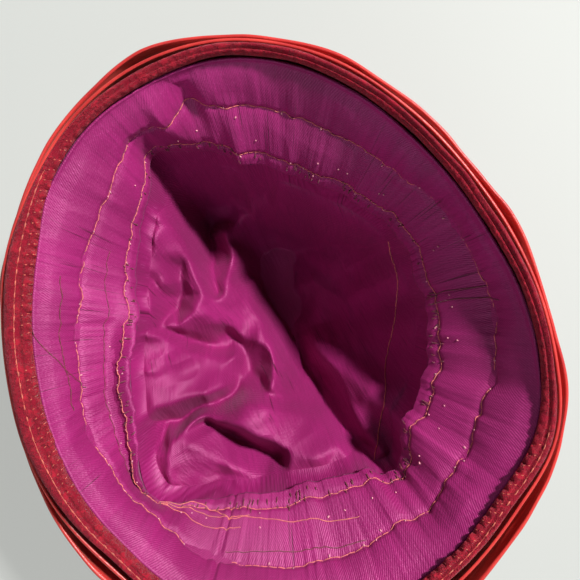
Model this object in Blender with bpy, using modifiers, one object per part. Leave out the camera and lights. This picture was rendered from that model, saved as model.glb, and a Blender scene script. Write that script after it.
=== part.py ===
"""Soft velvet hat lying on its crown with the head opening upwards: metres, +Z up, long axis along Y.
Rings round the hat are read from ROUND, and the cloth between them from the short tables below."""

import bmesh
import bpy
import numpy as np

# Named sizes of the hat, in metres.
HEAD_RADIUS = 0.090
HAT_HEIGHT = 0.118
SEAM_GAP = 0.0003
VELVET = 0.0017
SATIN = 0.0010
LINING = 0.0010
EDGE_DEPTH = 0.0045
ROW_DEPTH = 0.0180
HEM_DEPTH = 0.0345
HEM_OVERLAP = 0.0042
HEM_EASE = 0.0011
TIP_HALF_WIDTH = 0.0640
TIP_HALF_LENGTH = 0.0800
FLANGE_SHARE = 0.90
LINING_FLOOR = 0.0150
LOWEST_LINING = 0.0062
ROUNDING = 0.0012
RIM_SWAY_SHARE = 0.018
UNDER_HEM_SHARE = 0.985
LIP_FADE_SHARE = 0.08
CREST_POWER = 1.3
RIM_POWER = 8.0
RIM_SWAY_ANGLE = 35.0

# Counts of facets. The side lining has as many round as the rim of the crown lining behind it.
EDGE_TURNS = 72
SATIN_TURNS = 54
SIDE_TURNS = 54
TIP_TURNS = 36
CRUMPLE_FACETS = 26
BAND_TURNS = 4 * CRUMPLE_FACETS
BAND_ROWS = 8

# Rings round the hat, anticlockwise from +X. Every ring is a share of HEAD_RADIUS.
# Columns: angle in degrees, lip of the facing, outside of the velvet roll, first stitch row,
# hem of the side lining, outside of the satin.
ROUND = (
    (-180, 0.874, 0.967, 0.797, 0.671, 1.011),
    (-165, 0.893, 0.968, 0.815, 0.757, 1.044),
    (-150, 0.917, 0.970, 0.837, 0.863, 1.066),
    (-135, 0.969, 1.022, 0.875, 0.749, 1.124),
    (-120, 1.015, 1.068, 0.893, 0.687, 1.182),
    (-105, 1.043, 1.096, 0.903, 0.658, 1.217),
    (-90, 1.050, 1.102, 0.908, 0.687, 1.221),
    (-75, 1.035, 1.086, 0.907, 0.772, 1.197),
    (-60, 1.019, 1.074, 0.892, 0.670, 1.172),
    (-45, 1.035, 1.091, 0.877, 0.665, 1.153),
    (-30, 0.995, 1.035, 0.877, 0.657, 1.079),
    (-15, 0.942, 0.980, 0.866, 0.655, 1.026),
    (0, 0.896, 0.934, 0.835, 0.652, 0.993),
    (15, 0.889, 0.925, 0.825, 0.664, 0.985),
    (30, 0.910, 0.944, 0.803, 0.659, 1.013),
    (45, 0.955, 0.990, 0.811, 0.659, 1.043),
    (60, 1.011, 1.047, 0.856, 0.688, 1.100),
    (75, 1.050, 1.088, 0.918, 0.751, 1.149),
    (90, 1.047, 1.090, 0.949, 0.855, 1.179),
    (105, 1.042, 1.083, 0.918, 0.835, 1.149),
    (120, 0.999, 1.045, 0.833, 0.706, 1.106),
    (135, 0.921, 1.018, 0.789, 0.643, 1.053),
    (150, 0.884, 0.982, 0.763, 0.614, 1.018),
    (165, 0.868, 0.964, 0.767, 0.629, 1.000),
)
ANGLE, LIP, ROLL, ROW, HEM, FLARE = range(len(ROUND[0]))

# Cross-section of the rolled velvet edge. Columns: share of the way from the lip to the roll,
# share of EDGE_DEPTH below the top of the hat.
EDGE_LOOP = (
    (0.02, 0.90),
    (0.00, 0.72),
    (0.10, 0.46),
    (0.30, 0.16),
    (0.55, 0.00),
    (0.82, 0.08),
    (0.98, 0.34),
    (1.00, 0.66),
    (0.92, 0.96),
    (0.16, 1.00),
)

# Velvet side from its upper edge to the seam of the crown. Columns: share of the wall height
# above the crown, share of the way from the tip ellipse out to the roll.
SIDE_PROFILE = (
    (1.00, 1.00),
    (0.74, 0.99),
    (0.48, 0.90),
    (0.26, 0.74),
    (0.10, 0.50),
    (0.03, 0.22),
)

# Flat crown from the middle of its underside, round its edge, to the middle of its upper side.
# Columns: share of the tip ellipse, share of VELVET.
TIP_RIM = (
    (0.000, 0.00),
    (0.985, 0.00),
    (1.000, 0.25),
    (1.000, 0.75),
    (0.985, 1.00),
    (0.000, 1.00),
)

# Soft dents of the velvet side. Columns: angle in degrees, half width in degrees, height and
# half height as shares of HAT_HEIGHT, inward depth as a share of HEAD_RADIUS.
SIDE_DENTS = (
    (-150, 16, 0.28, 0.20, 0.050),
    (-82, 13, 0.34, 0.18, 0.030),
    (-28, 15, 0.30, 0.22, 0.055),
    (40, 14, 0.24, 0.18, 0.035),
    (118, 15, 0.32, 0.20, 0.050),
    (172, 11, 0.36, 0.16, 0.030),
)

# Satin folds. Columns: share of HAT_HEIGHT, share of the way from the velvet out to the flare.
INNER_FOLD = ((0.965, 0.30), (0.915, 0.42), (0.84, 0.30), (0.76, 0.06))
OUTER_FOLD = ((0.925, 1.00), (0.865, 1.04), (0.77, 0.78), (0.66, 0.34), (0.60, 0.10))

# Slanting drapes of the satin. Columns: angle where the drape crosses mid height, half width
# in degrees, lean in degrees from its lower to its upper end, outward depth as a share of
# HEAD_RADIUS.
SATIN_DRAPES = (
    (-165, 9, 30, 0.020),
    (-128, 8, 34, 0.024),
    (-95, 10, 28, 0.016),
    (-52, 8, 36, 0.022),
    (-12, 9, 26, 0.014),
    (34, 8, 32, 0.018),
    (78, 10, 30, 0.014),
    (126, 9, 34, 0.020),
)

# Gathers and folds of the side lining. Columns: angle in degrees, half width before it and
# after it in degrees, upper and lower end as shares of the way from the lip to the hem, outward
# depth as a share of HEAD_RADIUS.
BAND_FOLDS = (
    (99, 6.0, 5.0, 0.30, 1.70, 0.070),
    (107, 4.0, 8.0, 0.25, 1.75, -0.030),
    (84, 2.5, 4.0, -0.10, 0.75, 0.045),
    (92, 4.0, 2.0, -0.10, 0.80, -0.035),
    (76, 4.0, 2.0, 0.30, 1.30, -0.030),
    (-72, 3.5, 8.0, 0.05, 1.60, 0.020),
    (-80, 9.0, 3.5, 0.10, 1.90, -0.055),
    (-60, 4.0, 3.0, 0.30, 1.10, -0.030),
    (-20, 12.0, 12.0, 0.45, 1.00, -0.018),
    (25, 10.0, 10.0, 0.05, 0.55, -0.014),
    (52, 9.0, 9.0, 0.10, 0.60, 0.016),
    (150, 9.0, 9.0, 0.45, 1.40, -0.030),
    (-165, 8.0, 8.0, 0.45, 1.00, 0.018),
)

# Crown lining. Columns: share of the hem radius, share of the rise from the floor to the rim.
TIP_PROFILE = (
    (0.00, 0.05),
    (0.14, 0.04),
    (0.28, 0.06),
    (0.42, 0.11),
    (0.55, 0.19),
    (0.68, 0.31),
    (0.79, 0.44),
    (0.88, 0.56),
    (0.95, 0.67),
    (1.00, 0.76),
)

# Creases of the crown lining. Columns: height at the first point and at the last, width to the
# left of the line and to its right, then the x and y of the points, all as shares of
# HEAD_RADIUS.
TIP_CREASES = (
    (0.12, 0.17, 0.12, 0.1, ((-0.289, 0.71), (-0.268, 0.544), (-0.238, 0.296))),
    (0.1, 0.2, 0.13, 0.1, ((-0.063, 0.566), (-0.045, 0.46), (-0.23, 0.293))),
    (0.18, 0.09, 0.12, 0.1, ((-0.426, 0.832), (-0.309, 0.583), (-0.499, 0.301))),
    (0.13, 0.08, 0.1, 0.1, ((-0.547, 0.616), (-0.504, 0.498), (-0.499, 0.301))),
    (-0.08, -0.11, 0.1, 0.1, ((-0.594, 0.306), (-0.535, 0.182), (-0.345, 0.025))),
    (0.12, 0.22, 0.1, 0.3, ((-0.087, 0.285), (-0.07, -0.055), (-0.206, -0.303))),
    (-0.1, -0.2, 0.1, 0.1, ((0.009, 0.22), (0.071, -0.315), (0.128, -0.8))),
    (0.08, 0.16, 0.24, 0.1, ((-0.87, -0.175), (-0.532, -0.229), (-0.221, -0.315))),
    (0.08, 0.18, 0.18, 0.1, ((-0.433, -0.226), (-0.233, -0.466), (0.005, -0.7))),
    (0.12, 0.2, 0.12, 0.1, ((0.105, -0.117), (0.132, -0.227), (0.194, -0.7))),
    (-0.1, -0.05, 0.1, 0.1, ((-0.72, -0.22), (-0.7, -0.4), (-0.75, -0.5))),
    (-0.12, -0.09, 0.1, 0.1, ((-0.13, 0.7), (-0.17, 0.52), (-0.2, 0.42))),
    (-0.1, -0.06, 0.1, 0.1, ((-0.16, 0.28), (0.02, 0.36), (0.45, 0.4))),
)

# Swells and hollows of the crown lining. Columns: x and y of the middle, half length and half
# width as shares of HEAD_RADIUS, turn of the length in degrees, height as a share of HEAD_RADIUS.
TIP_SWELLS = (
    (0.36, -0.12, 0.60, 0.36, -82, -0.15),
    (-0.55, -0.02, 0.3, 0.24, 10, 0.06),
    (-0.5, -0.5, 0.26, 0.18, -35, 0.09),
    (-0.1, 0.66, 0.42, 0.24, -25, -0.26),
    (-0.45, 0.62, 0.2, 0.2, 0, -0.1),
    (-0.28, -0.19, 0.1, 0.08, -20, -0.1),
    (-0.02, -0.42, 0.12, 0.1, -40, 0.06),
)

# Material rows. Columns: name, colour as linear RGB, roughness.
VELVET_CLOTH = ("velvet", (0.33, 0.03, 0.045), 0.90)
SATIN_CLOTH = ("band_satin", (0.62, 0.05, 0.04), 0.38)
LINING_CLOTH = ("lining_satin", (0.42, 0.015, 0.17), 0.42)

for stale in list(bpy.data.objects):
    bpy.data.objects.remove(stale, do_unlink=True)

hat = bpy.data.collections.new("velvet_hat")
bpy.context.scene.collection.children.link(hat)


def ring(column, theta):
    """Radius of one column of ROUND at theta, by a periodic cubic through its rows."""
    values = np.array([row[column] for row in ROUND]) * HEAD_RADIUS
    at = (np.degrees(theta) - ROUND[0][ANGLE]) % 360.0 * len(values) / 360.0
    first = np.floor(at).astype(int)
    t = at - first
    before, near, far, after = (
        values[(first + step) % len(values)] for step in (-1, 0, 1, 2)
    )
    slope_near, slope_far = (far - before) / 2.0, (after - near) / 2.0
    rise = far - near
    return near + t * (
        slope_near
        + t * (3.0 * rise - 2.0 * slope_near - slope_far)
        + t * t * (slope_near + slope_far - 2.0 * rise)
    )


def turned_from(theta, angle):
    """Degrees from angle to theta, between -180 and 180."""
    return (np.degrees(theta) - angle + 180.0) % 360.0 - 180.0


def tip_ellipse(theta):
    """Radius of the flat crown at theta."""
    return 1.0 / np.hypot(
        np.cos(theta) / TIP_HALF_WIDTH, np.sin(theta) / TIP_HALF_LENGTH
    )


def side_inside(theta, z):
    """Inner radius of the velvet side at theta and height z."""
    heights, shares = np.array(SIDE_PROFILE).T
    top = HAT_HEIGHT - EDGE_DEPTH - SEAM_GAP
    share = np.interp(z / top, heights[::-1], shares[::-1])
    base = tip_ellipse(theta)
    radius = base + share * (ring(ROLL, theta) - SEAM_GAP - VELVET - base)
    for angle, half, height, tall, depth in SIDE_DENTS:
        across = turned_from(theta, angle) / half
        along = (z / HAT_HEIGHT - height) / tall
        radius = radius - depth * HEAD_RADIUS * np.exp(-(across**2) - along**2)
    return radius


def side_outside(theta, z):
    """Outer radius of the velvet side at theta and height z."""
    return side_inside(theta, z) + VELVET


def band_inside(theta, drop):
    """Inner radius of the side lining, drop metres below the top of the hat."""
    lip, row, hem = (ring(column, theta) for column in (LIP, ROW, HEM))
    start = EDGE_DEPTH + SEAM_GAP
    top = np.minimum(
        lip, side_inside(theta, HAT_HEIGHT - start) - LINING - SEAM_GAP
    )
    upper = np.clip((drop - start) / (ROW_DEPTH - start), 0.0, 1.0)
    lower = np.clip((drop - ROW_DEPTH) / (HEM_DEPTH - ROW_DEPTH), 0.0, 1.0)
    radius = top + (row - top) * upper + (hem - row) * lower
    reach = np.clip((drop - start) / (HEM_DEPTH - start), 0.0, 1.0)
    below_lip = np.clip(reach / LIP_FADE_SHARE, 0.0, 1.0)
    for angle, before, after, begin, end, depth in BAND_FOLDS:
        along = np.clip((reach - begin) / (end - begin), 0.0, 1.0)
        away = turned_from(theta, angle)
        across = away / np.where(away < 0.0, before, after)
        lobe = np.exp(-(across**2)) * np.sin(np.pi * along) * below_lip
        radius = radius + depth * HEAD_RADIUS * lobe
    lapped = (drop - ROW_DEPTH) / (HEM_DEPTH - HEM_OVERLAP - ROW_DEPTH)
    layers = 1.0 + np.clip(lapped, 0.0, 1.0)
    room = side_inside(theta, HAT_HEIGHT - drop) - layers * (LINING + HEM_EASE + SEAM_GAP)
    return np.minimum(radius, room)


def grid_mesh(name, columns, rows, place, cloth, closed=True):
    """A grid of columns by rows whose points place(u, v) sets, with u and v from 0 to 1."""
    made = bmesh.new()
    bmesh.ops.create_grid(made, x_segments=columns, y_segments=rows, size=0.5)
    made.verts.ensure_lookup_table()
    flat = np.array([vert.co[:2] for vert in made.verts]) + 0.5
    placed = np.stack(place(flat[:, 0], flat[:, 1]), axis=1)
    for vert, point in zip(made.verts, placed):
        vert.co = point
    bmesh.ops.remove_doubles(made, verts=made.verts, dist=1e-6)
    if closed:
        bmesh.ops.recalc_face_normals(made, faces=made.faces)
    mesh = bpy.data.meshes.new(name)
    made.to_mesh(mesh)
    made.free()
    mesh.materials.append(material(cloth))
    piece = bpy.data.objects.new(name, mesh)
    hat.objects.link(piece)
    return piece


def material(cloth):
    """One plain Principled material from a material row."""
    name, colour, roughness = cloth
    made = bpy.data.materials.new(name)
    made.use_nodes = True
    shader = made.node_tree.nodes["Principled BSDF"]
    shader.inputs["Base Color"].default_value = (*colour, 1.0)
    shader.inputs["Roughness"].default_value = roughness
    return made


def polar(radius, theta, z):
    """Points at a radius, an angle and a height, the height swaying gently round the hat."""
    saddle = np.cos(2.0 * theta - 2.0 * np.radians(RIM_SWAY_ANGLE))
    sway = 1.0 + RIM_SWAY_SHARE * (radius / HEAD_RADIUS) ** 2 * saddle
    return radius * np.cos(theta), radius * np.sin(theta), z * sway


def closed_loop(name, turns, section, cloth):
    """A ring body: section(theta, index) gives radius and height round a closed cross-section."""
    count = section(np.zeros(1), None)

    def place(u, v):
        theta = 2.0 * np.pi * u
        index = np.rint(v * count).astype(int) % count
        radius, z = section(theta, index)
        return polar(radius, theta, z)

    return grid_mesh(name, turns, count, place, cloth)


def wall_section(heights, inner, outer):
    """The loop of a wall: down its inner side and up its outer side."""
    zs = np.concatenate([heights, heights[::-1]])

    def section(theta, index):
        if index is None:
            return len(zs)
        z = zs[index]
        radius = np.where(index < len(heights), inner(theta, z), outer(theta, z))
        return radius, z

    return section


def edge_section(theta, index):
    """The loop of the rolled velvet edge."""
    if index is None:
        return len(EDGE_LOOP)
    across, down = np.array(EDGE_LOOP)[index].T
    lip, roll = ring(LIP, theta), ring(ROLL, theta)
    return lip + across * (roll - lip), HAT_HEIGHT - down * EDGE_DEPTH


def satin_radius(profile, nearest):
    """Inner radius of a satin fold: from the velvet out towards the flare."""
    heights, shares = np.array(profile).T

    def inner(theta, z):
        share = np.interp(z / HAT_HEIGHT, heights[::-1], shares[::-1])
        velvet = np.maximum(side_outside(theta, z), ring(ROLL, theta)) + SEAM_GAP
        flare = ring(FLARE, theta) - SATIN
        radius = velvet + share * (flare - velvet)
        middle = heights.mean()
        for angle, half, lean, depth in SATIN_DRAPES:
            slant = lean * (z / HAT_HEIGHT - middle) / np.ptp(heights)
            across = turned_from(theta, angle + slant) / half
            radius = radius + depth * HEAD_RADIUS * share * np.exp(-(across**2))
        return np.maximum(radius, nearest(theta, z))

    return inner


def flat_crown(u, v):
    """The flat velvet disc that the hat lies on, its edge rounded."""
    theta = 2.0 * np.pi * u
    at = v * (len(TIP_RIM) - 1)
    share, rise = (
        np.interp(at, range(len(TIP_RIM)), column) for column in np.array(TIP_RIM).T
    )
    return polar(tip_ellipse(theta) * share, theta, VELVET * rise)


velvet_tip = grid_mesh(
    "velvet_tip", TIP_TURNS, len(TIP_RIM) - 1, flat_crown, VELVET_CLOTH
)

side_top = HAT_HEIGHT - EDGE_DEPTH - SEAM_GAP
side_heights = side_top * np.array([row[0] for row in SIDE_PROFILE])
flange_low = VELVET + SEAM_GAP


def side_section(theta, index):
    """The loop of the velvet side, with the seam allowance turned in above the crown."""
    rows = len(side_heights)
    if index is None:
        return 2 * rows + 4
    z = np.concatenate(
        [
            side_heights,
            [flange_low + VELVET, flange_low + VELVET, flange_low, flange_low],
            side_heights[::-1],
        ]
    )[index]
    base = tip_ellipse(theta)
    radius = np.select(
        [index < rows, index == rows, index <= rows + 2, index == rows + 3],
        [side_inside(theta, z), base, base * FLANGE_SHARE, base + VELVET],
        side_outside(theta, z),
    )
    return radius, z


velvet_side = closed_loop("velvet_side", SIDE_TURNS, side_section, VELVET_CLOTH)
velvet_edge = closed_loop("velvet_edge", EDGE_TURNS, edge_section, VELVET_CLOTH)

band_heights = np.linspace(
    HAT_HEIGHT - EDGE_DEPTH - SEAM_GAP, HAT_HEIGHT - HEM_DEPTH, BAND_ROWS
)
lining_band = closed_loop(
    "lining_band",
    BAND_TURNS,
    wall_section(
        band_heights,
        lambda theta, z: band_inside(theta, HAT_HEIGHT - z),
        lambda theta, z: band_inside(theta, HAT_HEIGHT - z) + LINING,
    ),
    LINING_CLOTH,
)

inner_radius = satin_radius(INNER_FOLD, lambda theta, z: np.zeros_like(theta))
outer_radius = satin_radius(
    OUTER_FOLD, lambda theta, z: inner_radius(theta, z) + SATIN + SEAM_GAP
)
for fold_name, profile, inner in (
    ("satin_fold_inner", INNER_FOLD, inner_radius),
    ("satin_fold_outer", OUTER_FOLD, outer_radius),
):
    fold_heights = HAT_HEIGHT * np.array([row[0] for row in profile])
    closed_loop(
        fold_name,
        SATIN_TURNS,
        wall_section(
            fold_heights,
            inner,
            lambda theta, z, inner=inner: inner(theta, z) + SATIN,
        ),
        SATIN_CLOTH,
    )


def crease_at(x, y, line):
    """Distance of x, y from a line of points, the side it lies on and the share of the line."""
    points = np.array(line) * HEAD_RADIUS
    runs = np.diff(points, axis=0)
    lengths = np.hypot(*runs.T)
    nearest, side, share = np.full_like(x, np.inf), np.zeros_like(x), np.zeros_like(x)
    for index, (start, run) in enumerate(zip(points, runs)):
        ahead_x, ahead_y = x - start[0], y - start[1]
        along = np.clip((ahead_x * run[0] + ahead_y * run[1]) / (run @ run), 0.0, 1.0)
        away_x, away_y = ahead_x - along * run[0], ahead_y - along * run[1]
        away = np.hypot(away_x, away_y)
        closer = away < nearest
        side = np.where(closer, run[0] * away_y - run[1] * away_x, side)
        gone = (lengths[:index].sum() + along * lengths[index]) / lengths.sum()
        share = np.where(closer, gone, share)
        nearest = np.minimum(nearest, away)
    return nearest, side, share


def crumple(x, y):
    """Height that the creases and swells of the crown lining add at x, y."""
    height = np.zeros_like(x)
    for first, last, left, right, line in TIP_CREASES:
        away, side, share = crease_at(x, y, line)
        width = np.where(side > 0.0, left, right) * HEAD_RADIUS
        rounded = np.hypot(away, ROUNDING) - ROUNDING
        tall = (first + (last - first) * share) * HEAD_RADIUS
        height += tall * np.exp(-((rounded / width) ** CREST_POWER))
    for middle_x, middle_y, half_length, half_width, turn, tall in TIP_SWELLS:
        cos, sin = np.cos(np.radians(turn)), np.sin(np.radians(turn))
        away_x, away_y = x / HEAD_RADIUS - middle_x, y / HEAD_RADIUS - middle_y
        long_way = (away_x * cos + away_y * sin) / half_length
        short_way = (away_y * cos - away_x * sin) / half_width
        height += tall * HEAD_RADIUS * np.exp(-(long_way**2) - short_way**2)
    return height


def crown_lining(u, v):
    """The crown lining: a square sheet drawn out to a crumpled bowl, its rim behind the hem."""
    across, along = 2.0 * u - 1.0, 2.0 * v - 1.0
    wide = abs(across) >= abs(along)
    signed = np.where(wide, across, along)
    slope = np.where(wide, along, across) / np.where(signed == 0.0, 1.0, signed)
    turn = np.where(wide, slope, 2.0 - slope) * np.pi / 4.0
    theta = np.arctan2(signed * np.sin(turn), signed * np.cos(turn))
    hem = band_inside(theta, np.full_like(theta, HEM_DEPTH))
    rows = len(TIP_PROFILE) - 1
    at = abs(signed) * (rows + 2)
    share, rise = (
        np.interp(np.minimum(at, rows), range(rows + 1), column)
        for column in np.array(TIP_PROFILE).T
    )
    radius = share * hem * UNDER_HEM_SHARE
    z = LINING_FLOOR + rise * (HAT_HEIGHT - HEM_DEPTH - LINING_FLOOR)
    calm = 1.0 - share**RIM_POWER
    z = z + calm * crumple(radius * np.cos(theta), radius * np.sin(theta))
    z = np.maximum(z, LOWEST_LINING)
    below = LINING + SEAM_GAP
    raised = (below + HEM_OVERLAP) * np.clip(at - rows - 1.0, 0.0, 1.0) - below
    behind = band_inside(theta, HEM_DEPTH - np.maximum(raised, 0.0)) + LINING + HEM_EASE
    tucked = at > rows + 0.5
    tuck_z = HAT_HEIGHT - HEM_DEPTH + raised
    return polar(np.where(tucked, behind, radius), theta, np.where(tucked, tuck_z, z))


lining_tip = grid_mesh(
    "lining_tip", CRUMPLE_FACETS, CRUMPLE_FACETS, crown_lining, LINING_CLOTH, False
)
backing = lining_tip.modifiers.new("cloth", "SOLIDIFY")
backing.thickness = LINING
backing.offset = -1.0
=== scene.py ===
"""A soft red velvet hat lying on its crown, seen from above into its magenta satin lining.

Metres, +Z up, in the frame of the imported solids. Each section makes one piece of the hat in the
order that a milliner puts it together, and the last ones set the table, the window and the camera.
"""

import bmesh
import bpy
import numpy as np
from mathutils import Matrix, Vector
from mathutils.geometry import delaunay_2d_cdt


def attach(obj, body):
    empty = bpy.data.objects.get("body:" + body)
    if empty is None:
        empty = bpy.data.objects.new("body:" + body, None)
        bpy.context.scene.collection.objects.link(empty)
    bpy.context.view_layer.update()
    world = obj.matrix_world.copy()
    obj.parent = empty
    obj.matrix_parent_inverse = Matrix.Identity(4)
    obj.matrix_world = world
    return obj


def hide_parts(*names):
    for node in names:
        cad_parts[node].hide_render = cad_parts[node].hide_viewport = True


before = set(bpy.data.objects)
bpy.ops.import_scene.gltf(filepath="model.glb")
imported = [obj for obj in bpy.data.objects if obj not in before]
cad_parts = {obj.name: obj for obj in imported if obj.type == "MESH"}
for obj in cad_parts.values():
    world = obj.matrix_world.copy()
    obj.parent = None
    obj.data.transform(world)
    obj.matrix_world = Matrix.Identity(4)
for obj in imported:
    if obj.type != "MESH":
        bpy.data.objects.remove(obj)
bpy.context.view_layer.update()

# Velvet crown and side.
# Crushed cotton velvet over a stiff ground: a flat oval tip, sewn to a side wall that flares a
# little towards the head opening. The hat lies on the tip.
head_radius = 0.090
hat_height = 0.118
seam_gap = 0.0003
velvet_thick = 0.0017
edge_depth = 0.0045
tip_half_width, tip_half_length = 0.0640, 0.0800

# Rings round the hat as shares of head_radius: angle in degrees, lip of the facing, outside of
# the velvet roll, first stitch row, hem of the side lining, outside of the satin.
round_rows = np.array([
    (-180, 0.874, 0.967, 0.797, 0.671, 1.011),
    (-165, 0.893, 0.968, 0.815, 0.757, 1.044),
    (-150, 0.917, 0.970, 0.837, 0.863, 1.066),
    (-135, 0.969, 1.022, 0.875, 0.749, 1.124),
    (-120, 1.015, 1.068, 0.893, 0.687, 1.182),
    (-105, 1.043, 1.096, 0.903, 0.658, 1.217),
    (-90, 1.050, 1.102, 0.908, 0.687, 1.221),
    (-75, 1.035, 1.086, 0.907, 0.772, 1.197),
    (-60, 1.019, 1.074, 0.892, 0.670, 1.172),
    (-45, 1.035, 1.091, 0.877, 0.665, 1.153),
    (-30, 0.995, 1.035, 0.877, 0.657, 1.079),
    (-15, 0.942, 0.980, 0.866, 0.655, 1.026),
    (0, 0.896, 0.934, 0.835, 0.652, 0.993),
    (15, 0.889, 0.925, 0.825, 0.664, 0.985),
    (30, 0.910, 0.944, 0.803, 0.659, 1.013),
    (45, 0.955, 0.990, 0.811, 0.659, 1.043),
    (60, 1.011, 1.047, 0.856, 0.688, 1.100),
    (75, 1.050, 1.088, 0.918, 0.751, 1.149),
    (90, 1.047, 1.090, 0.949, 0.855, 1.179),
    (105, 1.042, 1.083, 0.918, 0.835, 1.149),
    (120, 0.999, 1.045, 0.833, 0.706, 1.106),
    (135, 0.921, 1.018, 0.789, 0.643, 1.053),
    (150, 0.884, 0.982, 0.763, 0.614, 1.018),
    (165, 0.868, 0.964, 0.767, 0.629, 1.000),
])
LIP, ROLL, ROW, HEM, FLARE = range(1, 6)

# The side from its upper edge to the crown: share of its height, share of the way from the tip
# oval out to the roll.
side_profile = np.array([(1, 1), (0.74, 0.99), (0.48, 0.90), (0.26, 0.74), (0.10, 0.50), (0.03, 0.22)])

# Soft dents: angle, half width in degrees, height and half height as shares of hat_height,
# depth as a share of head_radius.
side_dents = (
    (-150, 16, 0.28, 0.20, 0.050),
    (-82, 13, 0.34, 0.18, 0.030),
    (-28, 15, 0.30, 0.22, 0.055),
    (40, 14, 0.24, 0.18, 0.035),
    (118, 15, 0.32, 0.20, 0.050),
    (172, 11, 0.36, 0.16, 0.030),
)


def cubic_round(values, at):
    """A periodic cubic through values, one of them at each whole number, read at at."""
    first = np.floor(at).astype(int)
    t = (at - first).reshape(np.shape(at) + (1,) * (values.ndim - 1))
    before, near, far, after = (values[(first + step) % len(values)] for step in (-1, 0, 1, 2))
    rise, leave, arrive = far - near, (far - before) / 2.0, (after - near) / 2.0
    return near + t * (leave + t * (3 * rise - 2 * leave - arrive + t * (leave + arrive - 2 * rise)))


def around(column, theta):
    """Radius of a ring at theta, from the rows of round_rows."""
    at = (np.degrees(theta) + 180.0) % 360.0 * len(round_rows) / 360.0
    return cubic_round(round_rows[:, column] * head_radius, at)


def turned(theta, angle):
    """Degrees from angle to theta, between -180 and 180."""
    return (np.degrees(theta) - angle + 180.0) % 360.0 - 180.0


def place(radius, theta, z):
    """Points at a radius, an angle and a height, the height swaying in a saddle round the hat."""
    saddle = np.cos(2.0 * theta - np.radians(70.0))
    sway = 1.0 + 0.018 * (radius / head_radius) ** 2 * saddle
    return np.stack([radius * np.cos(theta), radius * np.sin(theta), z * sway], axis=-1)


def lattice_noise(u, v, seed, wrap=64):
    """Smooth noise from -1 to 1: a lattice of random numbers, blended by a smooth step, that
    repeats after wrap cells of u."""
    table = np.random.default_rng(seed).uniform(-1.0, 1.0, (wrap, 256))
    iu, iv = np.floor(u).astype(int), np.floor(v).astype(int)
    fu, fv = u - iu, v - iv
    fu, fv = fu * fu * (3.0 - 2.0 * fu), fv * fv * (3.0 - 2.0 * fv)
    low = table[iu % wrap, iv % 256] * (1 - fu) + table[(iu + 1) % wrap, iv % 256] * fu
    iv = iv + 1
    high = table[iu % wrap, iv % 256] * (1 - fu) + table[(iu + 1) % wrap, iv % 256] * fu
    return low * (1 - fv) + high * fv


def tip_oval(theta):
    """Radius of the flat tip: an ellipse."""
    return 1.0 / np.hypot(np.cos(theta) / tip_half_width, np.sin(theta) / tip_half_length)


def side_inside(theta, z):
    """Inner radius of the side: its profile from the tip oval to the roll, less the dents."""
    top = hat_height - edge_depth - seam_gap
    share = np.interp(z / top, side_profile[::-1, 0], side_profile[::-1, 1])
    base = tip_oval(theta)
    radius = base + share * (around(ROLL, theta) - seam_gap - velvet_thick - base)
    for angle, half, height, tall, depth in side_dents:
        across, along = turned(theta, angle) / half, (z / hat_height - height) / tall
        radius = radius - depth * head_radius * np.exp(-(across**2) - along**2)
    return radius


def finished(name, mesh, near):
    """A piece from a mesh: points less than near metres apart are merged, as at a pole, and its
    faces are shaded smooth."""
    welded = bmesh.new()
    welded.from_mesh(mesh)
    bmesh.ops.remove_doubles(welded, verts=welded.verts, dist=near)
    welded.to_mesh(mesh)
    welded.free()
    mesh.shade_smooth()
    piece = bpy.data.objects.new(name, mesh)
    bpy.context.scene.collection.objects.link(piece)
    return piece


def cloth_mesh(name, points, uv=None, wrap=True, loop=False):
    """A mesh from a grid of points, rows by columns. wrap joins the last column to the first,
    and loop the last row to the first. uv is a matching grid one wider and taller where joined."""
    rows, columns = points.shape[:2]
    row_count, column_count = rows - (not loop), columns - (not wrap)
    row, column = np.meshgrid(np.arange(row_count), np.arange(column_count), indexing="ij")
    up, right = (row + 1) % rows, (column + 1) % columns
    corners = [(row, column), (row, right), (up, right), (up, column)]
    faces = np.stack([r * columns + c for r, c in corners], axis=-1).reshape(-1, 4)
    mesh = bpy.data.meshes.new(name)
    mesh.from_pydata(points.reshape(-1, 3), [], faces)
    if uv is not None:
        wide = [(row, column), (row, column + 1), (row + 1, column + 1), (row + 1, column)]
        flat = np.stack([uv[r, c] for r, c in wide], axis=2)
        layer = mesh.uv_layers.new(name="cloth")
        layer.uv.foreach_set("vector", flat.astype(np.float32).ravel())
    return finished(name, mesh, 1e-7)


class Signal:
    """One output of a material's nodes. Arithmetic on it adds Math nodes."""

    def __init__(self, dye, socket):
        self.dye, self.socket = dye, socket

    def math(self, operation, *values):
        return self.dye.node("ShaderNodeMath", {"operation": operation}, dict(enumerate(values)))

    def __add__(self, other):
        return self.math("ADD", self, other)

    __radd__ = __add__

    def __sub__(self, other):
        return self.math("SUBTRACT", self, other)

    def __rsub__(self, other):
        return self.math("SUBTRACT", other, self)

    def __mul__(self, other):
        return self.math("MULTIPLY", self, other)

    __rmul__ = __mul__

    def between(self, low, high):
        """0 below low, 1 above high, and smooth between."""
        settings = {"interpolation_type": "SMOOTHSTEP"}
        inputs = {"Value": self, "From Min": low, "From Max": high}
        return self.dye.node("ShaderNodeMapRange", settings, inputs)

    def wave(self, pitch):
        """From 0 to 1 and back every pitch."""
        return self.math("SINE", self * (2.0 * np.pi / pitch)) * 0.5 + 0.5


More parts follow.
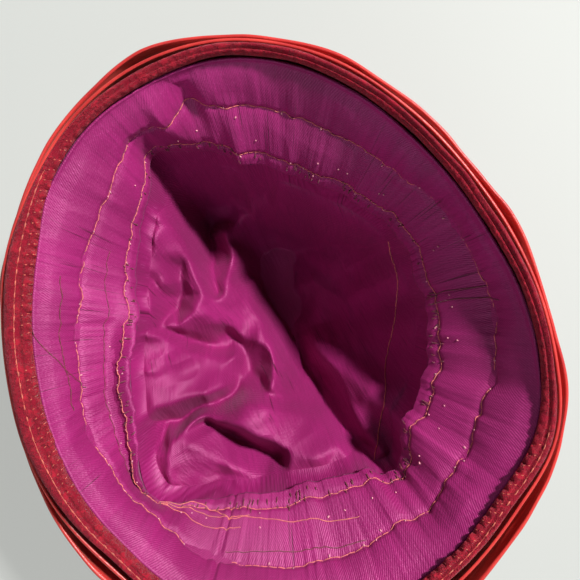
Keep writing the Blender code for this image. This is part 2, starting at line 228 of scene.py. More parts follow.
class Dye:
    """A material with one Principled shader, and the nodes that feed it."""

    def __init__(self, name, **constants):
        self.material = bpy.data.materials.new(name)
        self.material.use_nodes = True
        self.tree = self.material.node_tree
        self.shader = self.tree.nodes["Principled BSDF"]
        for key, value in constants.items():
            self.shader.inputs[key.replace("_", " ").title()].default_value = value

    def node(self, kind, settings=None, inputs=None, output=0):
        """A node of that kind: its settings first, then its sockets' values or links."""
        made = self.tree.nodes.new(kind)
        for key, value in (settings or {}).items():
            setattr(made, key, value)
        for key, value in (inputs or {}).items():
            self.feed(made.inputs[key], value)
        return Signal(self, made.outputs[output])

    def feed(self, socket, value):
        """Links a signal to a socket, or sets the socket's own value."""
        if isinstance(value, Signal):
            self.tree.links.new(value.socket, socket)
        elif hasattr(socket.default_value, "__len__") and len(value) == 3 < len(socket.default_value):
            socket.default_value = (*value, 1.0)
        else:
            socket.default_value = value

    def mix(self, factor, first, second, blend="MIX"):
        """A colour between first and second."""
        settings = {"data_type": "RGBA", "blend_type": blend}
        return self.node("ShaderNodeMix", settings, {0: factor, 6: first, 7: second}, 2)

    def noise(self, scale, detail=3.0, vector=None, stretch=None, rough=0.55):
        """Noise from 0 to 1 at a scale per metre, on Object coordinates unless vector is given."""
        spot = vector or self.node("ShaderNodeTexCoord", output=3)
        if stretch:
            spot = self.node("ShaderNodeMapping", {}, {"Vector": spot, "Scale": stretch})
        inputs = {"Vector": spot, "Scale": scale, "Detail": detail, "Roughness": rough}
        return self.node("ShaderNodeTexNoise", {}, inputs)

    def bump(self, height, distance, strength=1.0, below=None):
        """A normal pushed by height, a signal from 0 to 1, over a distance in metres."""
        inputs = {"Height": height, "Distance": distance, "Strength": strength}
        if below:
            inputs["Normal"] = below
        return self.node("ShaderNodeBump", {}, inputs)

    def finish(self, **sockets):
        """Links signals to the shader's sockets, and returns the material."""
        for key, value in sockets.items():
            self.feed(self.shader.inputs[key.replace("_", " ").title()], value)
        return self.material


def velvet_dye(name, pressed, standing):
    """Crushed velvet: patches where the pile is pressed flat and looks light, dark standing pile
    between them, and a fine nap."""
    dye = Dye(name, roughness=0.90, sheen_weight=0.24, sheen_roughness=0.40)
    dye.shader.inputs["Sheen Tint"].default_value = (1.0, 0.42, 0.46, 1.0)
    dye.shader.inputs["Specular IOR Level"].default_value = 0.12
    crushed = dye.noise(330.0, 5.0, rough=0.66).between(0.40, 0.62)
    wide = dye.noise(90.0, 2.0).between(0.35, 0.70)
    nap = dye.noise(3200.0, 2.0)
    base = dye.mix(crushed * 0.75 + wide * 0.25, standing, pressed)
    base = dye.mix(nap.between(0.45, 0.75) * 0.35, base, tuple(1.5 * part for part in pressed))
    relief = dye.bump(nap, 0.0005, 0.7, dye.bump(crushed, 0.0009, 0.8))
    return dye.finish(base_color=base, normal=relief)


velvet_material = velvet_dye("velvet", (0.32, 0.013, 0.028), (0.15, 0.005, 0.015))

side_turn = np.linspace(-np.pi, np.pi, 361)[:-1]
side_top = hat_height - edge_depth - seam_gap
side_down = np.linspace(1.0, 0.03, 44)[:, None] * side_top
side_soft = 0.0005 * lattice_noise(side_turn * 24 / np.pi + 24, side_down * 260.0, 11, 48)
side_inner = place(side_inside(side_turn, side_down), side_turn, side_down)
side_outer = place(
    side_inside(side_turn, side_down) + velvet_thick - abs(side_soft) * (side_down < 0.9 * side_top),
    side_turn,
    side_down,
)
flange_z = velvet_thick + seam_gap
flange_share = 0.90
flange = np.stack([
    place(tip_oval(side_turn), side_turn, 2 * velvet_thick + seam_gap),
    place(flange_share * tip_oval(side_turn), side_turn, 2 * velvet_thick + seam_gap),
    place(flange_share * tip_oval(side_turn), side_turn, flange_z),
    place(tip_oval(side_turn) + velvet_thick, side_turn, flange_z),
])
side_loop = np.concatenate([side_inner, flange, side_outer[::-1]])
velvet_side = cloth_mesh("velvet_side_cloth", side_loop[:, ::-1], loop=True)
velvet_side.data.materials.append(velvet_material)
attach(velvet_side, "root")
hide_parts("velvet_side")

tip_shares = np.array([0, 0.35, 0.70, 0.95, 0.985, 1.0, 1.0, 0.985, 0.95, 0.70, 0.35, 0])
tip_rises = np.array([0, 0, 0, 0, 0, 0.25, 0.75, 1, 1, 1, 1, 1]) * velvet_thick
tip_grid = place(tip_shares[:, None] * tip_oval(side_turn), side_turn, tip_rises[:, None])
velvet_tip = cloth_mesh("velvet_tip_cloth", tip_grid)
velvet_tip.data.materials.append(velvet_material)
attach(velvet_tip, "root")
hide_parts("velvet_tip")

# Rolled velvet edge and facing.
# The velvet is turned over the top of the side round a wire and brought down inside as a narrow
# facing, held by a machine row. Its inner lip is whipped down by hand, which puckers it.
edge_shape = np.array([
    (0.02, 0.90), (0.00, 0.62), (0.08, 0.34), (0.22, 0.24), (0.34, 0.27), (0.50, 0.08),
    (0.66, 0.00), (0.84, 0.08), (0.98, 0.34), (1.00, 0.66), (0.92, 0.96), (0.16, 1.00),
])

# Stretches where the lip puckers most: angle and half width in degrees.
lip_puckers = ((-66, 20), (132, 22), (178, 16))


def smooth_loop(corners, count):
    """A closed curve through the corners, read at count places."""
    return cubic_round(corners, np.linspace(0.0, len(corners), count, endpoint=False))


def edge_point(theta, across, down):
    """The velvet edge: across is 0 at the lip and 1 at the roll, down is 0 at the top and 1 at
    the foot. The lip is scalloped by its stitches, and the velvet is slack between them."""
    lip, roll = around(LIP, theta), around(ROLL, theta)
    pull = 0.35 + sum(np.exp(-((turned(theta, angle) / half) ** 4)) for angle, half in lip_puckers)
    scallop = abs(np.sin(theta * 82.0 + 1.4 * lattice_noise(theta * 12 / np.pi + 12, 0.5, 23, 24)))
    pucker = lattice_noise(theta * 90 / np.pi + 90, across * 2.0, 21, 180)
    slack = lattice_noise(theta * 24 / np.pi + 24, down * 2.5 + across, 22, 48)
    near_lip = np.clip(1.0 - across * 4.0, 0.0, 1.0) * np.clip(2.6 - down * 3.0, 0.0, 1.0)
    inward = near_lip * pull * (0.0007 * scallop + 0.0005 * pucker) + 0.0005 * slack * (1.0 - near_lip)
    z = hat_height - down * edge_depth + 0.0006 * slack - near_lip * pull * 0.0009 * (1.0 - scallop)
    z = np.maximum(z, hat_height - edge_depth + 0.0001)
    return place(lip + across * (roll - lip) - inward, theta, z)


edge_turn = np.linspace(-np.pi, np.pi, 1441)[:-1]
edge_section = smooth_loop(edge_shape, 44)
edge_grid = edge_point(edge_turn, edge_section[:, 0][:, None], edge_section[:, 1][:, None])
velvet_edge = cloth_mesh("velvet_edge_cloth", edge_grid[:, ::-1], loop=True)
edge_material = velvet_dye("velvet_edge", (0.33, 0.012, 0.028), (0.19, 0.005, 0.018))
velvet_edge.data.materials.append(edge_material)
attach(velvet_edge, "root")
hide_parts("velvet_edge")

# Draped satin band.
# A bias strip of coral-red satin laid round the outside of the opening in two loose folds, the
# outer one lower. It stands off most at the front and left.
satin_thick = 0.0010
inner_fold = np.array([(0.965, 0.30), (0.915, 0.42), (0.84, 0.30), (0.76, 0.06)])
outer_fold = np.array([(0.925, 1.00), (0.865, 1.04), (0.77, 0.78), (0.66, 0.34), (0.60, 0.10)])

# Slanting drapes: angle at mid height, half width and lean in degrees, depth as a share of
# head_radius.
satin_drapes = (
    (-165, 9, 30, 0.020),
    (-128, 8, 34, 0.024),
    (-95, 10, 28, 0.016),
    (-52, 8, 36, 0.022),
    (-12, 9, 26, 0.014),
    (34, 8, 32, 0.018),
    (78, 10, 30, 0.014),
    (126, 9, 34, 0.020),
)


def fold_radius(profile, theta, z):
    """Inner radius of a satin fold: its share of the way from the velvet out to the flare, and
    its drapes, which lean round the hat as they rise."""
    heights, shares = profile.T
    share = np.interp(z / hat_height, heights[::-1], shares[::-1])
    velvet = np.maximum(side_inside(theta, z) + velvet_thick, around(ROLL, theta)) + seam_gap
    radius = velvet + share * (around(FLARE, theta) - satin_thick - velvet)
    for angle, half, lean, depth in satin_drapes:
        slant = lean * (z / hat_height - heights.mean()) / np.ptp(heights)
        lobe = np.exp(-((turned(theta, angle + slant) / half) ** 2))
        radius = radius + depth * head_radius * share * lobe
    return radius


def satin_dye():
    """Smooth satin: an even coral red, faintly streaked along its threads."""
    dye = Dye("band_satin", roughness=0.36, sheen_weight=0.30, sheen_roughness=0.4)
    dye.shader.inputs["Sheen Tint"].default_value = (1.0, 0.45, 0.35, 1.0)
    streak = dye.noise(40.0, 3.0, stretch=(1.0, 1.0, 22.0))
    base = dye.mix(streak.between(0.3, 0.7), (0.42, 0.020, 0.022), (0.60, 0.044, 0.038))
    weave = dye.noise(1800.0, 1.0, stretch=(1.0, 1.0, 3.0))
    return dye.finish(base_color=base, normal=dye.bump(weave, 0.0002, 0.5))


satin_material = satin_dye()
satin_turn = np.linspace(-np.pi, np.pi, 721)[:-1]
for fold_name, profile, seed in (("inner", inner_fold, 31), ("outer", outer_fold, 32)):
    fold_z = np.linspace(profile[0, 0], profile[-1, 0], 44)[:, None] * hat_height
    radius = fold_radius(profile, satin_turn, fold_z)
    lean = satin_turn + fold_z * 9.0
    crease = lattice_noise(lean * 14 / np.pi + 40, fold_z * 240.0, seed, 28)
    narrow = lattice_noise(lean * 36 / np.pi + 90, fold_z * 420.0, seed + 4, 72)
    if fold_name == "outer":
        under = fold_radius(inner_fold, satin_turn, fold_z) + satin_thick + seam_gap
        radius = np.maximum(radius, under) + 0.0007 * (1 + crease) + 0.0002 * (1 + narrow)
    inner_wall = place(radius, satin_turn, fold_z)
    outer_wall = place(radius + satin_thick, satin_turn, fold_z)
    fold_loop = np.concatenate([inner_wall, outer_wall[::-1]])
    satin_fold = cloth_mesh(f"satin_fold_{fold_name}_cloth", fold_loop[:, ::-1], loop=True)
    satin_fold.data.materials.append(satin_material)
    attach(satin_fold, "root")
    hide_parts(f"satin_fold_{fold_name}")

# Side lining.
# A strip of thin magenta satin, its upper edge under the facing and its hem turned up over the
# rim of the crown lining. A row of running stitches half way down gathers it. It is pinched into
# a deep fold at one end, lapped at the other and seamed in between.
lining_thick = 0.0010
hem_ease = 0.0011

# The hem is lifted and leans inwards at the left: angle and half width in degrees, the drop at
# which it starts, the lift of its face and of its back, and the lean. The rim of the crown lining
# isn't lifted with it, so a slit stays open behind the hem there.
stand_angle, stand_half, stand_start = 182.0, 36.0, 0.0245
face_stand, back_stand, hem_lean = 0.0115, 0.0090, 0.0045
row_depth, hem_depth, hem_overlap = 0.0180, 0.0345, 0.0042
hem_row = hem_depth - 0.004

# Folds: angle, half width before it and after it in degrees, upper and lower end as shares of
# the way from the lip to the hem, outward depth as a share of head_radius.
band_folds = (
    (99, 6.0, 5.0, 0.30, 1.70, 0.070),
    (107, 4.0, 8.0, 0.25, 1.75, -0.030),
    (84, 2.5, 4.0, -0.10, 0.75, 0.045),
    (92, 4.0, 2.0, -0.10, 0.80, -0.035),
    (76, 4.0, 2.0, 0.30, 1.30, -0.030),
    (-72, 2.0, 8.0, 0.05, 1.60, 0.020),
    (-80, 9.0, 1.8, 0.10, 1.90, -0.055),
    (-60, 4.0, 3.0, 0.30, 1.10, -0.030),
    (-20, 12.0, 12.0, 0.45, 1.00, -0.018),
    (25, 10.0, 10.0, 0.05, 0.55, -0.014),
    (52, 9.0, 9.0, 0.10, 0.60, 0.016),
    (150, 9.0, 9.0, 0.45, 1.40, -0.030),
    (-165, 8.0, 8.0, 0.45, 1.00, 0.018),
)
band_seam = -128.0


def band_inside(theta, drop):
    """Inner radius of the side lining, drop metres below the top: straight from the lip to the
    stitch row and on to the hem, plus a sine lobe for each fold, kept inside the velvet."""
    lip, row, hem = (around(column, theta) for column in (LIP, ROW, HEM))
    start = edge_depth + seam_gap
    top = np.minimum(lip, side_inside(theta, hat_height - start) - lining_thick - seam_gap)
    upper = np.clip((drop - start) / (row_depth - start), 0.0, 1.0)
    lower = np.clip((drop - row_depth) / (hem_depth - row_depth), 0.0, 1.0)
    radius = top + (row - top) * upper + (hem - row) * lower
    reach = np.clip((drop - start) / (hem_depth - start), 0.0, 1.0)
    for angle, before, after, begin, end, depth in band_folds:
        along = np.clip((reach - begin) / (end - begin), 0.0, 1.0)
        away = turned(theta, angle)
        lobe = np.exp(-((away / np.where(away < 0.0, before, after)) ** 2)) * np.sin(np.pi * along)
        radius = radius + depth * head_radius * lobe * np.clip(reach * 12.0, 0.0, 1.0)
    lapped = (drop - row_depth) / (hem_depth - hem_overlap - row_depth)
    layers = 1.0 + np.clip(lapped, 0.0, 1.0)
    room = side_inside(theta, hat_height - drop) - layers * (lining_thick + hem_ease + seam_gap)
    return np.minimum(radius, room)


def hem_stand(theta, drop):
    """The share of the hem's lift, from 0 to 1: a smooth step of the drop, times a bell of the
    angle that is flat at its middle."""
    step = np.clip((drop - stand_start) / (hem_depth - stand_start), 0.0, 1.0)
    bell = np.exp(-((turned(theta, stand_angle) / stand_half) ** 4))
    return bell * step**2 * (3.0 - 2.0 * step)


def band_surface(theta, drop):
    """The lining's face: band_inside with puffs between the rows, gathers that are tightest at
    each row, slack creases, and a groove at each row and at the seam."""
    radius = band_inside(theta, drop)
    from_row = np.minimum(abs(drop - row_depth), abs(drop - hem_row))
    tight = np.exp(-((from_row / 0.0065) ** 2))
    puff = np.sin(np.pi * np.clip((drop - edge_depth) / (row_depth - edge_depth), 0, 1)) + np.sin(
        np.pi * np.clip((drop - row_depth) / (hem_depth - row_depth), 0, 1)
    )
    fine = lattice_noise(theta * 150 / np.pi + 150, drop * 55.0, 43, 300)
    gathers = lattice_noise(theta * 64 / np.pi + 64, drop * 32.0, 41, 128)
    lean = theta + drop * 1.6
    wide = lattice_noise(lean * 22 / np.pi + 44, drop * 60.0, 42, 44)
    drag = 1.0 - 2.2 * abs(lattice_noise(lean * 36 / np.pi + 72, drop * 70.0 + 5.0, 44, 72))
    inward = 0.0014 * puff + 0.0005 * gathers * (0.35 + tight) + 0.0010 * wide
    inward = inward + 0.00022 * fine * (0.25 + tight) + 0.0004 * drag
    groove = 0.0008 * np.exp(-((abs(drop - row_depth) / 0.0008) ** 2))
    groove = groove + 0.0008 * np.exp(-((abs(drop - hem_row) / 0.0008) ** 2))
    groove = groove + 0.0009 * np.exp(-((turned(theta, band_seam) / 0.5) ** 2))
    fade = np.clip((drop - edge_depth) / 0.004, 0.0, 1.0)
    return radius - (inward - groove) * fade - hem_lean * hem_stand(theta, drop)


def band_level(theta, drop, stand=face_stand):
    """Height of the side lining at a drop, with its hem lifted at the left."""
    return hat_height - drop + stand * hem_stand(theta, drop)


def lining_dye():
    """Lining satin: a deep magenta with a diagonal twill, slubs and dark pulled threads down the
    strip, and a speckle where the weft shows. Its face turns pink where light strikes it."""
    dye = Dye("lining_satin", roughness=0.52, metallic=0.10, sheen_weight=0.12, sheen_roughness=0.45)
    dye.shader.inputs["Sheen Tint"].default_value = (1.0, 0.50, 0.78, 1.0)
    dye.shader.inputs["Specular Tint"].default_value = (1.0, 0.64, 0.90, 1.0)
    dye.shader.inputs["Specular IOR Level"].default_value = 0.60
    cloth = dye.node("ShaderNodeUVMap", {"uv_map": "cloth"})
    along = dye.node("ShaderNodeSeparateXYZ", {}, {0: cloth})
    up = Signal(dye, along.socket.node.outputs[1])
    waver = dye.noise(160.0, 2.0, vector=cloth) * 0.0011
    twill = (along + up + waver).wave(0.00088)
    cross = (along - up * 0.4 + waver).wave(0.00062)
    slub = dye.noise(70.0, 4.0, vector=cloth, stretch=(9.0, 1.0, 1.0)).between(0.35, 0.70)
    pull = dye.noise(60.0, 2.0, vector=cloth, stretch=(16.0, 0.5, 1.0)).between(0.645, 0.675)
    place_of_pulls = dye.noise(14.0, 1.0, vector=cloth).between(0.52, 0.60)
    speckle = dye.noise(2300.0, 1.0, vector=cloth).between(0.55, 0.80)
    tone = dye.noise(26.0, 2.0, vector=cloth).between(0.34, 0.66)
    base = dye.mix(tone, (0.205, 0.0045, 0.080), (0.300, 0.0080, 0.125))
    base = dye.mix(slub * 0.5, base, (0.180, 0.0035, 0.070))
    base = dye.mix(twill * 0.26, base, (0.430, 0.030, 0.210))
    base = dye.mix(cross * speckle * 0.60, base, (0.520, 0.080, 0.300))
    base = dye.mix(pull * place_of_pulls * 0.8, base, (0.070, 0.0020, 0.022))
    grain = dye.noise(1100.0, 3.0, vector=cloth)
    relief = dye.bump(grain, 0.00022, 0.6, dye.bump(slub, 0.0003, 0.35))
    relief = dye.bump(twill, 0.00012, 0.5, relief)
    return dye.finish(base_color=base, normal=relief)


lining_material = lining_dye()
band_turn = np.linspace(-np.pi, np.pi, 1261)
band_drop = np.linspace(edge_depth + seam_gap, hem_depth, 66)[:, None]
back_drop = np.linspace(hem_depth, edge_depth + seam_gap, 8)[:, None]
band_face = place(band_surface(band_turn, band_drop), band_turn, band_level(band_turn, band_drop))
band_back = band_inside(band_turn, back_drop) + lining_thick
band_back = band_back - hem_lean * hem_stand(band_turn, back_drop)
band_back = place(band_back, band_turn, band_level(band_turn, back_drop, back_stand))
band_loop = np.concatenate([band_face, band_back])[:, :-1]
band_rows = np.concatenate([band_drop, back_drop, band_drop[:1]])
band_uv = np.stack(np.broadcast_arrays(band_turn * head_radius, -band_rows), axis=-1)
lining_band = cloth_mesh("lining_band_cloth", band_loop[:, ::-1], uv=band_uv[:, ::-1], loop=True)
lining_band.data.materials.append(lining_material)
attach(lining_band, "root")
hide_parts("lining_band")

# Crown lining.
# A loose round of the same satin, its rim sewn behind the hem of the side lining. It lies
# crumpled in the crown, in spikes and pleats at the left and one long smooth swell at the right.
lowest_lining = 0.0062

# The bowl that the crown lining makes without its folds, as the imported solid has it: angle in
# degrees, then the height at each of bowl_shares of the way from the middle to the hem, in shares
# of head_radius.
bowl_shares = np.array([0.0, 0.15, 0.30, 0.45, 0.60, 0.72, 0.82, 0.92, 1.0])
bowl_rows = np.array([
    (-180, 0.212, 0.350, 0.383, 0.400, 0.476, 0.570, 0.642, 0.703, 0.745),
    (-160, 0.212, 0.374, 0.420, 0.484, 0.611, 0.652, 0.666, 0.695, 0.745),
    (-140, 0.212, 0.379, 0.461, 0.572, 0.711, 0.699, 0.691, 0.714, 0.745),
    (-120, 0.212, 0.333, 0.434, 0.567, 0.678, 0.689, 0.699, 0.720, 0.745),
    (-100, 0.212, 0.265, 0.310, 0.394, 0.470, 0.556, 0.629, 0.700, 0.745),
    (-80, 0.212, 0.206, 0.210, 0.272, 0.361, 0.464, 0.571, 0.678, 0.745),
    (-60, 0.212, 0.171, 0.198, 0.262, 0.344, 0.439, 0.532, 0.643, 0.745),
    (-40, 0.212, 0.157, 0.190, 0.213, 0.266, 0.349, 0.452, 0.597, 0.745),
    (-20, 0.212, 0.144, 0.160, 0.167, 0.225, 0.321, 0.438, 0.593, 0.745),
    (0, 0.212, 0.126, 0.135, 0.149, 0.217, 0.321, 0.442, 0.594, 0.745),
    (20, 0.212, 0.114, 0.120, 0.145, 0.219, 0.324, 0.443, 0.592, 0.745),
    (40, 0.212, 0.109, 0.114, 0.141, 0.204, 0.294, 0.408, 0.569, 0.745),
    (60, 0.212, 0.116, 0.110, 0.123, 0.164, 0.258, 0.389, 0.568, 0.745),
    (80, 0.212, 0.140, 0.124, 0.132, 0.184, 0.264, 0.387, 0.579, 0.745),
    (100, 0.212, 0.204, 0.236, 0.276, 0.284, 0.297, 0.408, 0.596, 0.745),
    (120, 0.212, 0.275, 0.345, 0.450, 0.554, 0.558, 0.606, 0.678, 0.745),
    (140, 0.212, 0.304, 0.375, 0.470, 0.601, 0.632, 0.670, 0.719, 0.745),
    (160, 0.212, 0.323, 0.373, 0.409, 0.476, 0.540, 0.611, 0.690, 0.745),
])

# Folds as lines through points: x, y and height over the bowl, in shares of head_radius.
tip_folds = (
    ((-0.263, 0.672, 0.078), (-0.228, 0.617, 0.1), (-0.23, 0.485, 0.1), (-0.228, 0.364, 0.067),
     (-0.234, 0.268, 0.022)),
    ((-0.444, 0.451, -0.056), (-0.431, 0.348, -0.078), (-0.425, 0.284, -0.122),
     (-0.359, 0.353, -0.089), (-0.285, 0.48, -0.011)),
    ((-0.343, 0.605, 0.044), (-0.345, 0.53, 0.022), (-0.372, 0.426, 0.011)),
    ((-0.132, 0.665, -0.122), (-0.187, 0.489, -0.133), (-0.213, 0.29, -0.078)),
    ((-0.054, 0.569, 0.089), (-0.04, 0.457, 0.1), (-0.1, 0.342, 0.089), (-0.179, 0.256, 0.044)),
    ((0.019, 0.444, -0.044), (-0.075, 0.303, -0.056)),
    ((-0.081, 0.265, 0.044), (-0.068, 0.143, 0.067), (-0.071, -0.03, 0.078), (-0.092, -0.156, 0.078),
     (-0.155, -0.255, 0.056)),
    ((0.0, 0.324, -0.089), (0.006, 0.167, -0.1), (0.037, 0.023, -0.1), (0.04, -0.126, -0.1),
     (0.035, -0.281, -0.1), (0.045, -0.426, -0.1), (0.076, -0.55, -0.1), (0.125, -0.667, -0.089)),
    ((0.108, -0.094, -0.033), (0.136, -0.185, 0.056), (0.157, -0.266, 0.089), (0.165, -0.398, 0.1),
     (0.175, -0.536, 0.1), (0.181, -0.638, 0.078), (0.221, -0.722, 0.044)),
    ((0.28, 0.119, 0.022), (0.359, -0.043, 0.056), (0.329, -0.254, 0.089), (0.306, -0.436, 0.089)),
    ((0.042, 0.357, -0.089), (0.148, 0.343, -0.1), (0.272, 0.335, -0.1), (0.396, 0.294, -0.089),
     (0.49, 0.253, -0.078), (0.596, 0.16, -0.067), (0.643, 0.063, -0.033)),
    ((0.305, 0.576, 0.033), (0.393, 0.469, 0.044), (0.504, 0.334, 0.044), (0.615, 0.183, 0.022)),
    ((0.29, 0.598, 0.022), (0.222, 0.564, 0.0), (0.148, 0.532, -0.033)),
    ((-0.053, 0.65, -0.033), (0.066, 0.627, 0.022), (0.13, 0.556, 0.0)),
    ((-0.088, 0.747, -0.1), (0.084, 0.714, -0.1), (0.211, 0.648, -0.078)),
    ((-0.2, 0.818, -0.044), (-0.186, 0.751, -0.078)),
    ((-0.64, -0.083, 0.056), (-0.536, -0.119, 0.067), (-0.426, -0.142, 0.067), (-0.35, -0.148, 0.067)),
    ((-0.715, -0.169, -0.122), (-0.622, -0.211, -0.122), (-0.487, -0.215, -0.089),
     (-0.369, -0.218, -0.067), (-0.292, -0.224, -0.044), (-0.189, -0.283, -0.033),
     (-0.087, -0.367, -0.022), (-0.005, -0.453, -0.033)),
    ((-0.291, -0.158, -0.044), (-0.232, -0.163, -0.089), (-0.192, -0.222, -0.067)),
    ((-0.407, -0.247, 0.022), (-0.283, -0.251, 0.056), (-0.174, -0.314, 0.056),
     (-0.087, -0.411, 0.056), (-0.005, -0.504, 0.044), (0.03, -0.605, 0.033)),
    ((-0.449, -0.237, 0.022), (-0.37, -0.285, 0.044), (-0.283, -0.379, 0.056), (-0.191, -0.5, 0.056),
     (-0.083, -0.592, 0.067)),
    ((-0.496, -0.274, -0.067), (-0.435, -0.343, -0.089), (-0.351, -0.469, -0.1),
     (-0.244, -0.583, -0.1)),
    ((-0.637, -0.245, 0.056), (-0.548, -0.224, 0.067), (-0.48, -0.229, 0.056)),
    ((-0.673, -0.299, 0.056), (-0.712, -0.377, 0.056), (-0.715, -0.45, 0.033)),
    ((-0.52, -0.402, 0.044), (-0.384, -0.545, 0.011), (-0.522, -0.515, -0.033)),
    ((-0.737, -0.258, -0.089),),
    ((-0.482, 0.253, -0.033), (-0.465, 0.168, -0.067), (-0.428, 0.097, -0.078),
     (-0.375, 0.043, -0.067), (-0.319, 0.024, -0.022)),
    ((-0.441, 0.236, 0.022), (-0.407, 0.169, 0.022), (-0.372, 0.117, 0.011)),
    ((-0.325, 0.107, 0.033), (-0.256, 0.129, 0.056), (-0.209, 0.087, 0.056), (-0.197, 0.028, 0.044)),
    ((-0.292, 0.086, -0.011), (-0.257, 0.077, -0.022), (-0.235, -0.005, -0.022)),
    ((-0.488, 0.207, 0.056), (-0.462, 0.093, 0.056), (-0.371, 0.0, 0.044), (-0.273, -0.042, 0.044)),
    ((-0.461, 0.415, 0.044), (-0.485, 0.326, 0.044), (-0.54, 0.236, 0.044)),
    ((-0.611, 0.067, 0.044), (-0.493, -0.005, 0.044), (-0.352, -0.076, 0.044)),
    ((-0.322, 0.246, 0.033), (-0.217, 0.204, 0.033), (-0.152, 0.103, 0.044)),
)

fold_step = 0.0008
fold_low = -head_radius
mark_step = 0.0035
fold_gain = 1.35
rim_share = 0.985


def crown_rim(theta):
    """Radius at which the crown lining meets the hem."""
    return band_inside(theta, hem_depth) * rim_share


def bowl_height(x, y):
    """Height of the bowl: straight between the shares, a periodic cubic between the angles."""
    theta = np.arctan2(y, x)
    at = (np.degrees(theta) + 180.0) % 360.0 * len(bowl_rows) / 360.0
    rings = cubic_round(bowl_rows[:, 1:], at)
    share = np.clip(np.hypot(x, y) / crown_rim(theta), 0.0, 1.0)
    column = np.clip(np.searchsorted(bowl_shares, share) - 1, 0, len(bowl_shares) - 2)
    low, high = (np.take_along_axis(rings, (column + step)[..., None], -1)[..., 0] for step in (0, 1))
    part = (share - bowl_shares[column]) / (bowl_shares[column + 1] - bowl_shares[column])
    return (low + part * (high - low)) * head_radius


def fold_map():
    """Height of the crown lining on a square grid: the bowl, and on it flat facets between
    neighbouring fold lines, each a triangle of three line points. Repeated averaging rounds it."""
    ring = np.linspace(-np.pi, np.pi, 73)[:-1]
    rim = around(HEM, ring) * rim_share
    points = [np.stack([rim * np.cos(ring), rim * np.sin(ring), 0.0 * ring], axis=-1)]
    for line in tip_folds:
        marks = np.array(line) * head_radius
        run = np.concatenate([[0.0], np.cumsum(np.hypot(*np.diff(marks[:, :2], axis=0).T))])
        at = np.linspace(0.0, run[-1], max(len(marks), int(run[-1] / mark_step) + 2))
        points.append(np.stack([np.interp(at, run, column) for column in marks.T], axis=-1))
    points = np.concatenate(points)
    flat = [Vector(point[:2]) for point in points.tolist()]
    corners, _, faces, sources, _, _ = delaunay_2d_cdt(flat, [], [], 0, 1e-5)
    heights = np.array([points[source[0], 2] for source in sources])
    spots = np.array([tuple(corner) for corner in corners])
    grid_x, grid_y = np.meshgrid(*[np.arange(fold_low, 0.0001 - fold_low, fold_step)] * 2)
    height = np.zeros_like(grid_x)
    for face in faces:
        (ax, ay), (bx, by), (cx, cy) = spots[list(face)]
        area = (bx - ax) * (cy - ay) - (cx - ax) * (by - ay)
        second = ((grid_x - ax) * (cy - ay) - (cx - ax) * (grid_y - ay)) / area
        third = ((bx - ax) * (grid_y - ay) - (grid_x - ax) * (by - ay)) / area
        within = (second >= 0.0) & (third >= 0.0) & (second + third <= 1.0)
        low, mid, high = heights[list(face)]
        height = np.where(within, low + second * (mid - low) + third * (high - low), height)
    height = fold_gain * height + bowl_height(grid_x, grid_y)
    for _ in range(3):
        height = (np.roll(height, 1, 0) + 2.0 * height + np.roll(height, -1, 0)) / 4.0
        height = (np.roll(height, 1, 1) + 2.0 * height + np.roll(height, -1, 1)) / 4.0
    return height


folds = fold_map()


def fold_height(x, y):
    """The fold map read between its grid points."""
    u = np.clip((x - fold_low) / fold_step, 0.0, folds.shape[1] - 1.001)
    v = np.clip((y - fold_low) / fold_step, 0.0, folds.shape[0] - 1.001)
    i, j = u.astype(int), v.astype(int)
    u, v = u - i, v - j
    near = folds[j, i] * (1.0 - u) + folds[j, i + 1] * u
    far = folds[j + 1, i] * (1.0 - u) + folds[j + 1, i + 1] * u
    return near * (1.0 - v) + far * v


def crown_height(x, y):
    """Height of the crown lining: the fold map, and crumples that fade at the rim and on the
    swell. A slow waver bends the folds, and sharp ridges come from one less a noise's size."""
    theta = np.arctan2(y, x)
    share = np.hypot(x, y) / crown_rim(theta)
    calm = np.clip(1.0 - share**8, 0.0, 1.0)
    bend_x = x + 0.0012 * lattice_noise(x * 90 + 9, y * 90 + 9, 51)
    bend_y = y + 0.0012 * lattice_noise(x * 90 + 9, y * 90 + 9, 52)
    ridges = 1.0 - 2.0 * abs(lattice_noise(bend_x * 62 + 20, bend_y * 50 + 20, 53))
    small = 1.0 - 2.0 * abs(lattice_noise(bend_x * 140 + 30, bend_y * 120 + 30, 54))
    fine = lattice_noise(bend_x * 330 + 50, bend_y * 300 + 50, 55)
    smooth = 1.0 - 0.75 * np.exp(-(((x - 0.035) / 0.030) ** 2) - ((y + 0.015) / 0.045) ** 2)
    crumple = 0.0013 * ridges + 0.0008 * small + 0.00022 * fine
    return np.maximum(fold_height(bend_x, bend_y) + calm * smooth * crumple, lowest_lining)


def squared_disc(a, b):
    """A square from -1 to 1 drawn out to a disc: the angle and reach of each point."""
    wide = abs(a) >= abs(b)
    signed = np.where(wide, a, b)
    slope = np.where(wide, b, a) / np.where(signed == 0.0, 1.0, signed)
    turn = np.where(wide, slope, 2.0 - slope) * np.pi / 4.0
    return np.arctan2(signed * np.sin(turn), signed * np.cos(turn)), abs(signed)


